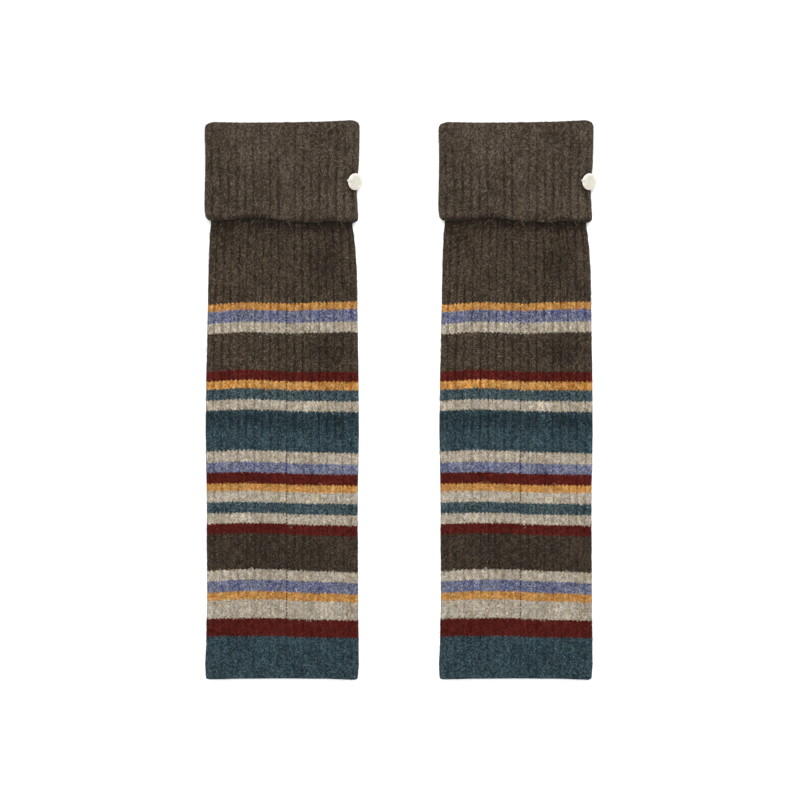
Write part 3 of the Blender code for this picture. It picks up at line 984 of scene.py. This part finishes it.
def nap_mesh(name, form, nap, materials):
    """Loose fibres that lie on the knit, each one a thin bent ribbon with pointed ends."""
    rng = np.random.default_rng(nap.seed)
    share = nap_shares(rng, nap.count)
    up = rng.uniform(nap.low, nap.high, nap.count)
    angle = rng.normal(math.pi / 2, ANGLE_SPREAD, nap.count)
    half = rng.uniform(*nap.lengths, nap.count) / 2
    rib = share % 1.0 * RIB_COUNT
    across = np.abs((2 * rib + 0.5) % 1.0 - 0.5)
    depth = TOOTH_STEADY + (1 - TOOTH_STEADY) * form.relief(up)
    tooth = TOOTH * (0.25 - across) * STITCH_HEIGHT * depth
    row = up + seam_step(rib) + tooth + rng.normal(0, TOOTH_SPREAD, nap.count)
    if form is TUBE:
        half = np.minimum(half, (edge_distance(row) + EDGE_CROSSING) / np.abs(np.sin(angle)))
    curl = rng.normal(0, nap.curl, nap.count)
    twist = rng.normal(0, nap.curl, nap.count)
    rise = np.abs(rng.normal(0, nap.rise, nap.count))
    roll = rng.normal(0, ROLL_SPREAD, nap.count)[:, None]
    width = rng.uniform(*nap.widths, nap.count)[:, None] / 2
    steps = np.linspace(-1.0, 1.0, nap.bends + 2)
    places, normals = [], []
    for step in steps:
        bow = curl * (1 - step * step) + twist * step * (1 - step * step)
        along = (np.sin(angle) * step + np.cos(angle) * bow) * half
        across = (np.cos(angle) * step - np.sin(angle) * bow) * half
        lift = rise * (1 - END_DROP * step * step)
        found, normal = surface(form, share + across / ROUND_TUBE, up + along, lift)
        places.append(found)
        normals.append(normal)
    run = places[-1] - places[0]
    side = unit(np.cross(normals[0], run))
    spread = (side * np.cos(roll) + normals[0] * np.sin(roll)) * width
    rings = [places[0]]
    for found in places[1:-1]:
        rings.extend([found - spread, found + spread])
    rings.append(places[-1])
    points = np.stack(rings, 1).reshape(-1, 3)
    points[:, 2] = np.maximum(points[:, 2], 0.0)
    corners = len(rings)
    first = np.arange(nap.count)[:, None] * corners
    strips = [(0, 1, 2)]
    for start in range(1, corners - 3, 2):
        strips.extend([(start, start + 2, start + 1), (start + 1, start + 2, start + 3)])
    strips.append((corners - 2, corners - 3, corners - 1))
    faces = np.concatenate([first + strip for strip in strips])
    wool = wool_at(row) if form is TUBE else np.zeros(nap.count, int)
    slots = wool * len(Wool._fields) + fibre_shades(rng, form, nap, share, up)
    return new_mesh(name, points, faces, materials, np.tile(slots, len(strips)))


def strand_mesh(name, routes, materials, sides=6, slots=None):
    """Round tapered strands along smooth routes. Each route is a list of points and radii."""
    points, faces = [], []
    for route in routes:
        places = np.array([place for place, _ in route])
        radii = np.array([radius for _, radius in route])
        run = unit(np.gradient(places, axis=0))
        side = unit(np.cross(run, (0.0, 0.0, 1.0) + 0.01 * run))
        top = np.cross(side, run)
        start = sum(len(group) for group in points)
        angles = np.arange(sides) * math.tau / sides
        ring = np.cos(angles)[None, :, None] * side[:, None] + np.sin(angles)[None, :, None] * top[:, None]
        points.append((places[:, None] + ring * radii[:, None, None]).reshape(-1, 3))
        body, _, _ = wall_faces(len(route), sides, start, inward=False)
        faces.append(body)
    if slots is not None:
        slots = np.repeat(slots, [len(body) for body in faces])
    return new_mesh(name, np.concatenate(points), np.concatenate(faces), materials, slots)


# How thick a strand is at its ends, as a share of its middle.
END_FULLNESS = 0.15


def bent_route(start, middle, end, radius, steps=8):
    """A quadratic curve through three guide points, thin at both ends."""
    start, middle, end = np.array(start), np.array(middle), np.array(end)
    route = []
    for step in range(steps + 1):
        share = step / steps
        place = (1 - share) ** 2 * start + 2 * share * (1 - share) * middle + share**2 * end
        fullness = END_FULLNESS + (1 - END_FULLNESS) * math.sin(math.pi * share) ** 0.5
        route.append((place, radius * fullness))
    return route


# The seam's stitches: how far apart, how thick and half as long, where the first one is, how far they
# stray up and across, how high their start, middle and end lie, and their colours in the pale stripes,
# which are the yarn's own dark deepened by painted shade of the seam's hollow.
SEAM_STITCH = 0.0028
SEAM_THREAD = 0.00068
SEAM_HALF = 0.00055
SEAM_START = 0.004
SEAM_STRAY = 0.2
SEAM_STRAY_X = 0.00010
SEAM_LIFTS = (0.0001, 0.00095, 0.0001)
# Seam yarn colours deepened by painted shade of the seam's hollow.
SEAM_YARN_AND_SHADE_COLORS = {"oat": (70, 58, 43), "ochre": (108, 62, 24), "blue": (42, 40, 66)}


def seam_yarn_and_shade_color(wool):
    """Dark in the pale stripes, its yarn deepened by painted shade; hardly seen in the dark ones."""
    return SEAM_YARN_AND_SHADE_COLORS.get(wool, WOOLS[wool].body)


def seam_mesh(name, materials):
    """Short seam stitches on the tube, darker than the wool in the pale stripes, partly by painted shade.
    """
    rng = np.random.default_rng(TUBE.seed + 7)
    routes = []
    ups = np.arange(SEAM_START, CUFF_EDGE, SEAM_STITCH)
    ups = ups + rng.uniform(-SEAM_STRAY, SEAM_STRAY, len(ups)) * SEAM_STITCH
    for up in ups:
        height = up + np.array([0.0, 1.0, 2.0]) * SEAM_HALF
        places = rng.normal(0, SEAM_STRAY_X, 3) / ROUND_TUBE
        found, _ = surface(TUBE, places, height, np.array(SEAM_LIFTS))
        routes.append(bent_route(*found, SEAM_THREAD, steps=5))
    return strand_mesh(name, routes, materials, slots=wool_at(ups + SEAM_HALF))


# The yarn end that shows under the cuff's edge at the seam, and strands that hang from the edge. Each
# has a start, a bend and an end: their shares of its way aside and down, and how high they lie.
YARN_ASIDE = (0.0, 0.35, 1.0)
YARN_DOWN = (0.0, 0.25, 1.0)
YARN_LIFTS = (0.0012, 0.0022, 0.0006)
YARN_HIDDEN = 0.002
Strand = namedtuple("Strand", "x down sideways length radius")
YARN_END = table(
    Strand,
    (0.0046, 0.0003, 0.0034, 0.0058, 0.00026),
    (0.0054, 0.0002, 0.0016, 0.0044, 0.00022),
    (0.0044, -0.0006, 0.0006, 0.0028, 0.00050),
    (0.0056, -0.0004, 0.0003, 0.0026, 0.00042),
    (0.0040, 0.0003, -0.0062, 0.0046, 0.00014),
    (-0.0330, 0.0004, -0.0100, 0.0018, 0.00012),
    (-0.0215, 0.0004, -0.0050, 0.0034, 0.00012),
    (0.0320, 0.0003, 0.0050, 0.0036, 0.00014),
    (0.0560, 0.0012, 0.0030, 0.0024, 0.00013),
    (-0.0260, 0.0020, -0.0056, 0.0040, 0.00014),
    (-0.0380, 0.0056, -0.0070, 0.0034, 0.00010),
)


def loose_strands(name, material):
    """Strands that start under the cuff's edge and lie on the tube below it."""
    routes = []
    for strand in YARN_END:
        share = (np.array(YARN_ASIDE) * strand.sideways + strand.x - SEAM_X) / ROUND_TUBE
        down = np.array(YARN_DOWN) * strand.length + strand.down
        down[0] -= YARN_HIDDEN
        found, _ = surface(TUBE, share, CUFF_EDGE - down, np.array(YARN_LIFTS))
        routes.append(bent_route(*found, strand.radius, steps=10))
    return strand_mesh(name, routes, [material])


# The button and its seat, nearly as its solid has them, drawn finer.
BUTTON_RADIUS = 0.0076
ButtonRing = namedtuple("ButtonRing", "radius level")
BUTTON_PROFILE = table(
    ButtonRing,
    (0.0000, 0.0000),
    (0.0030, 0.0001),
    (0.0052, 0.0005),
    (0.0068, 0.0011),
    (0.0074, 0.0015),
    (BUTTON_RADIUS, 0.0020),
    (0.0075, 0.0024),
    (0.0072, 0.0027),
    (0.0068, 0.0028),
    (0.0063, 0.0027),
    (0.0059, 0.0024),
    (0.0055, 0.0021),
    (0.0040, 0.0018),
    (0.0020, 0.0017),
    (0.0000, 0.0017),
)
BUTTON_SIDES = 72
HOLE_RADIUS = 0.0008
HOLE_OFFSET = 0.0024
HOLE_SIDES = 24
CUTTER_DEPTH = 0.01
SHARP_ANGLE = math.radians(40)
BUTTON_ALONG = 0.4481
BUTTON_TILT = math.radians(34)
BUTTON_TURN = math.radians(-8)
BUTTON_INSET = 0.0007


def button_place():
    """The button's place and turn in a leg warmer's own directions."""
    _, right = from_table(CUFF_WIDTHS, np.array([BUTTON_ALONG]))
    radius = CUFF_HEIGHT / 2
    normal = Vector((math.sin(BUTTON_TILT), 0, math.cos(BUTTON_TILT)))
    middle = Vector((right[0] - BUTTON_INSET - RIB_HEIGHT - radius, BUTTON_ALONG, radius))
    seat = middle + normal * (radius + RIB_HEIGHT + PIECE_GAP)
    turn = Matrix.Rotation(BUTTON_TURN, 4, "Z") @ Matrix.Rotation(BUTTON_TILT, 4, "Y")
    return Matrix.Translation(seat) @ turn


def button_mesh(name, material):
    """The turned button with its two sewing holes cut through."""
    bm = bmesh.new()
    outline = [bm.verts.new((ring.radius, 0, ring.level)) for ring in BUTTON_PROFILE]
    edges = [bm.edges.new(pair) for pair in zip(outline, outline[1:])]
    bmesh.ops.spin(
        bm, geom=outline + edges, cent=(0, 0, 0), axis=(0, 0, 1), angle=math.tau, steps=BUTTON_SIDES
    )
    bmesh.ops.remove_doubles(bm, verts=bm.verts, dist=1e-6)
    bmesh.ops.recalc_face_normals(bm, faces=bm.faces)
    turned = plain_object(name, bm)
    cutter_bm = bmesh.new()
    for side in (-1, 1):
        bmesh.ops.create_cone(
            cutter_bm, cap_ends=True, segments=HOLE_SIDES, radius1=HOLE_RADIUS, radius2=HOLE_RADIUS,
            depth=CUTTER_DEPTH, matrix=Matrix.Translation((side * HOLE_OFFSET, 0, 0)),
        )
    cutter = plain_object(name + "_cutter", cutter_bm)
    cut = turned.modifiers.new("holes", "BOOLEAN")
    cut.operation = "DIFFERENCE"
    cut.solver = "EXACT"
    cut.object = cutter
    bpy.context.view_layer.update()
    finished = bpy.data.meshes.new_from_object(turned.evaluated_get(bpy.context.evaluated_depsgraph_get()))
    bpy.data.objects.remove(turned)
    bpy.data.objects.remove(cutter)
    finished.materials.clear()
    finished.materials.append(material)
    finished.shade_smooth()
    finished.set_sharp_from_angle(angle=SHARP_ANGLE)
    face = [finished.vertices[loop.vertex_index].co.xy / BUTTON_RADIUS for loop in finished.loops]
    add_layer(finished, "face", face)
    finished.transform(button_place())
    return finished


def plain_object(name, bm):
    """An object of its own from a bmesh, which is freed."""
    mesh = bpy.data.meshes.new(name)
    bm.to_mesh(mesh)
    bm.free()
    return add_object(name, mesh)


# The button's thread in the button's own directions: how thick it is, how far apart its strands leave
# the hole, and the guide points in the hole, out over the rim and in the nap, each with how far the
# strands spread there. Then how high the stitch in each hole starts and bends.
THREAD_RADIUS = 0.00036
THREAD_STRANDS = (-0.0008, -0.0001, 0.0006)
Guide = namedtuple("Guide", "x y z spread")
THREAD_GUIDES = table(
    Guide,
    (-HOLE_OFFSET, 0.0, 0.0016, 1.0),
    (-0.0120, 0.0003, 0.0064, 1.5),
    (-0.0056, 0.0001, -0.0027, 0.3),
)
HOLE_STITCH_RADIUS = HOLE_RADIUS * 0.8
HOLE_STITCH_ENDS = 0.0013
HOLE_STITCH_TOP = 0.0019


def thread_mesh(name, material):
    """Sewing thread: from a hole over the rim on the cuff's side, drawn together into the nap."""
    place = button_place()
    routes = []
    for offset in THREAD_STRANDS:
        ways = [Vector((guide.x, guide.y + offset * guide.spread, guide.z)) for guide in THREAD_GUIDES]
        routes.append(bent_route(*[place @ way for way in ways], THREAD_RADIUS, steps=12))
    for side in (-1, 1):
        x = side * HOLE_OFFSET
        start, end = [place @ Vector((x, y, HOLE_STITCH_ENDS)) for y in (-HOLE_RADIUS, HOLE_RADIUS)]
        routes.append(bent_route(start, place @ Vector((x, 0.0, HOLE_STITCH_TOP)), end, HOLE_STITCH_RADIUS))
    return strand_mesh(name, routes, [material], sides=8)


# The dish in the button's face is an oval: how narrow it is each way, its scaled middle and how far
# from it its edge runs. The rim around it has a painted highlight on one side.
DISH_SCALE = (1.60, 1.30, 0.0)
DISH_MIDDLE = (0.24, 0.02, 0.0)
DISH_EDGE = (0.80, 1.06)
RIM_HIGHLIGHT_SIDE = (-0.45, 0.90, 0.0)
RIM_HIGHLIGHT_CHANGE = (-0.50, 0.30)
DISH_COLOR = (192, 190, 177)
RIM_DARK = (194, 186, 174)
RIM_HIGHLIGHT = (216, 215, 209)
CLOUD_COLOR = (240, 238, 231)
SHELL_GAIN = 0.88


def shell_material():
    """Polished shell: pale, faintly clouded, with a soft coat and a painted highlight on one rim side."""
    material, tree, shader = nodes_of("polished_shell")
    face = add_node(tree, "UVMap", uv_map="face").outputs["UV"]
    # Painted highlight on one side of the rim.
    aside = add_node(tree, "VectorMath", {0: face, 1: RIM_HIGHLIGHT_SIDE}, operation="DOT_PRODUCT")
    highlit = range_node(tree, aside.outputs["Value"], *RIM_HIGHLIGHT_CHANGE, 0.0, 1.0)
    rim_color = tinted(tree, linear(RIM_DARK, SHELL_GAIN), highlit, linear(RIM_HIGHLIGHT, SHELL_GAIN), "MIX")
    oval = add_node(tree, "VectorMath", {0: face, 1: DISH_SCALE}, operation="MULTIPLY").outputs["Vector"]
    away = add_node(tree, "VectorMath", {0: oval, 1: DISH_MIDDLE}, operation="DISTANCE")
    rim = range_node(tree, away.outputs["Value"], *DISH_EDGE, 0.0, 1.0)
    color = tinted(tree, linear(DISH_COLOR, SHELL_GAIN), rim, rim_color, "MIX")
    color = tinted(tree, color, flecks(tree, SHELL_CLOUDS), linear(CLOUD_COLOR))
    set_inputs(shader, {"Base Color": color, **SHELL_FINISH})
    return material


def yarn_material(name, color):
    """Twisted yarn in one colour, a little uneven."""
    material, tree, shader = nodes_of(name)
    color = tinted(tree, linear(color, WOOL_GAIN), 1.0, gray(tree, flecks(tree, YARN_CLOUDS)))
    set_inputs(shader, {"Base Color": color, **WOOL_FINISH})
    return material


def leg_origin(side):
    """Where a leg warmer's hem has its middle, worked out from its solid."""
    low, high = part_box(f"tube_{side}")
    widest = [max(getattr(row, edge) for row in TUBE_WIDTHS) for edge in ("left", "right")]
    middle = (low[0] + high[0]) / 2 + (widest[0] - widest[1]) / 2
    return Vector((middle, low[1] - min(SWAYS[0][1:]), 0.0))


def add_piece(name, mesh, side, slot, *nodes):
    """A copy of a leg warmer's mesh, moved to its side of the pair."""
    placed = mesh.copy()
    placed.name = f"{name}_{side}"
    placed.transform(Matrix.Translation(leg_origin(side)))
    made = add_object(placed.name, placed)
    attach(made, "root")
    if nodes:
        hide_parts(*nodes)
    return made


TUBE = Tube()
CUFF = Cuff()


def add_leg_warmers():
    """Builds each mesh once and adds it on both sides."""
    striped = knit_material("striped_knit", striped=True)
    plain = knit_material("brown_knit", striped=False)
    tube_fibres = fibre_materials(STRIPE_WOOLS)
    cuff_fibres = fibre_materials(["cuff"])
    seam_yarns = [yarn_material(f"seam_{wool}", seam_yarn_and_shade_color(wool)) for wool in STRIPE_WOOLS]
    loose_yarn = yarn_material("loose_yarn", LOOSE_YARN)
    tube = knit_shell("tube_knit", TUBE, striped)
    cuff = knit_shell("cuff_knit", CUFF, plain)
    tube_nap = nap_mesh("tube_nap", TUBE, TUBE_NAP, tube_fibres)
    cuff_nap = nap_mesh("cuff_nap", CUFF, CUFF_NAP, cuff_fibres)
    tube_hair = nap_mesh("tube_hair", TUBE, TUBE_HAIR, tube_fibres)
    cuff_hair = nap_mesh("cuff_hair", CUFF, CUFF_HAIR, cuff_fibres)
    seam = seam_mesh("tube_seam", seam_yarns)
    strands = loose_strands("yarn_end", loose_yarn)
    button = button_mesh("button_turned", shell_material())
    thread = thread_mesh("button_thread", yarn_material("white_thread", WHITE_THREAD))
    for side in SIDES:
        tube_piece = add_piece("tube_knit", tube, side, "striped_wool", f"tube_{side}")
        cuff_piece = add_piece("cuff_knit", cuff, side, "brown_wool", f"cuff_{side}")
        add_piece("tube_nap", tube_nap, side, "striped_wool")
        add_piece("cuff_nap", cuff_nap, side, "brown_wool")
        add_piece("tube_hair", tube_hair, side, "striped_wool")
        add_piece("cuff_hair", cuff_hair, side, "brown_wool")
        add_piece("tube_seam", seam, side, "striped_wool")
        add_piece("yarn_end", strands, side, "brown_wool")
        add_piece("button_turned", button, side, "pale_shell", f"button_{side}")
        add_piece("button_thread", thread, side, "pale_shell")


def add_floor():
    """A plain pale floor, just under the wool."""
    bpy.ops.mesh.primitive_plane_add(size=6.0, location=(0, 0, -0.0002))
    floor = bpy.context.object
    floor.name = "floor"
    material, _, shader = nodes_of("pale_floor")
    set_inputs(shader, FLOOR_FINISH)
    floor.data.materials.append(material)


def add_light(name, place, size, power):
    """A square lamp that faces the middle of the pair."""
    data = bpy.data.lights.new(name, "AREA")
    data.shape = "SQUARE"
    data.size = size
    data.energy = power
    lamp = add_object(name, data)
    lamp.location = place
    lamp.visible_camera = False
    lamp.rotation_euler = (-Vector(place)).to_track_quat("-Z", "Y").to_euler()


def add_lights():
    """A white room and two soft lamps."""
    world = bpy.data.worlds.new("white_room")
    world.use_nodes = True
    set_inputs(world.node_tree.nodes["Background"], {"Color": (1.0, 1.0, 1.0, 1.0), "Strength": 0.98})
    bpy.context.scene.world = world
    add_light("key", (0.30, 1.3, 2.5), 1.1, 51.0)
    add_light("fill", (-0.4, -1.2, 2.5), 1.8, 30.0)


def add_camera():
    """A long lens, straight down."""
    data = bpy.data.cameras.new("camera")
    data.lens = CAMERA_LENS
    data.sensor_width = SENSOR_WIDTH
    data.clip_end = 20.0
    camera = add_object("camera", data)
    camera.location = (*FRAME_MIDDLE, CAMERA_HEIGHT)
    bpy.context.scene.camera = camera


def main():
    """Dresses the frame and sets up the picture."""
    bpy.context.scene.view_settings.view_transform = "Standard"
    add_leg_warmers()
    add_floor()
    add_lights()
    add_camera()


main()
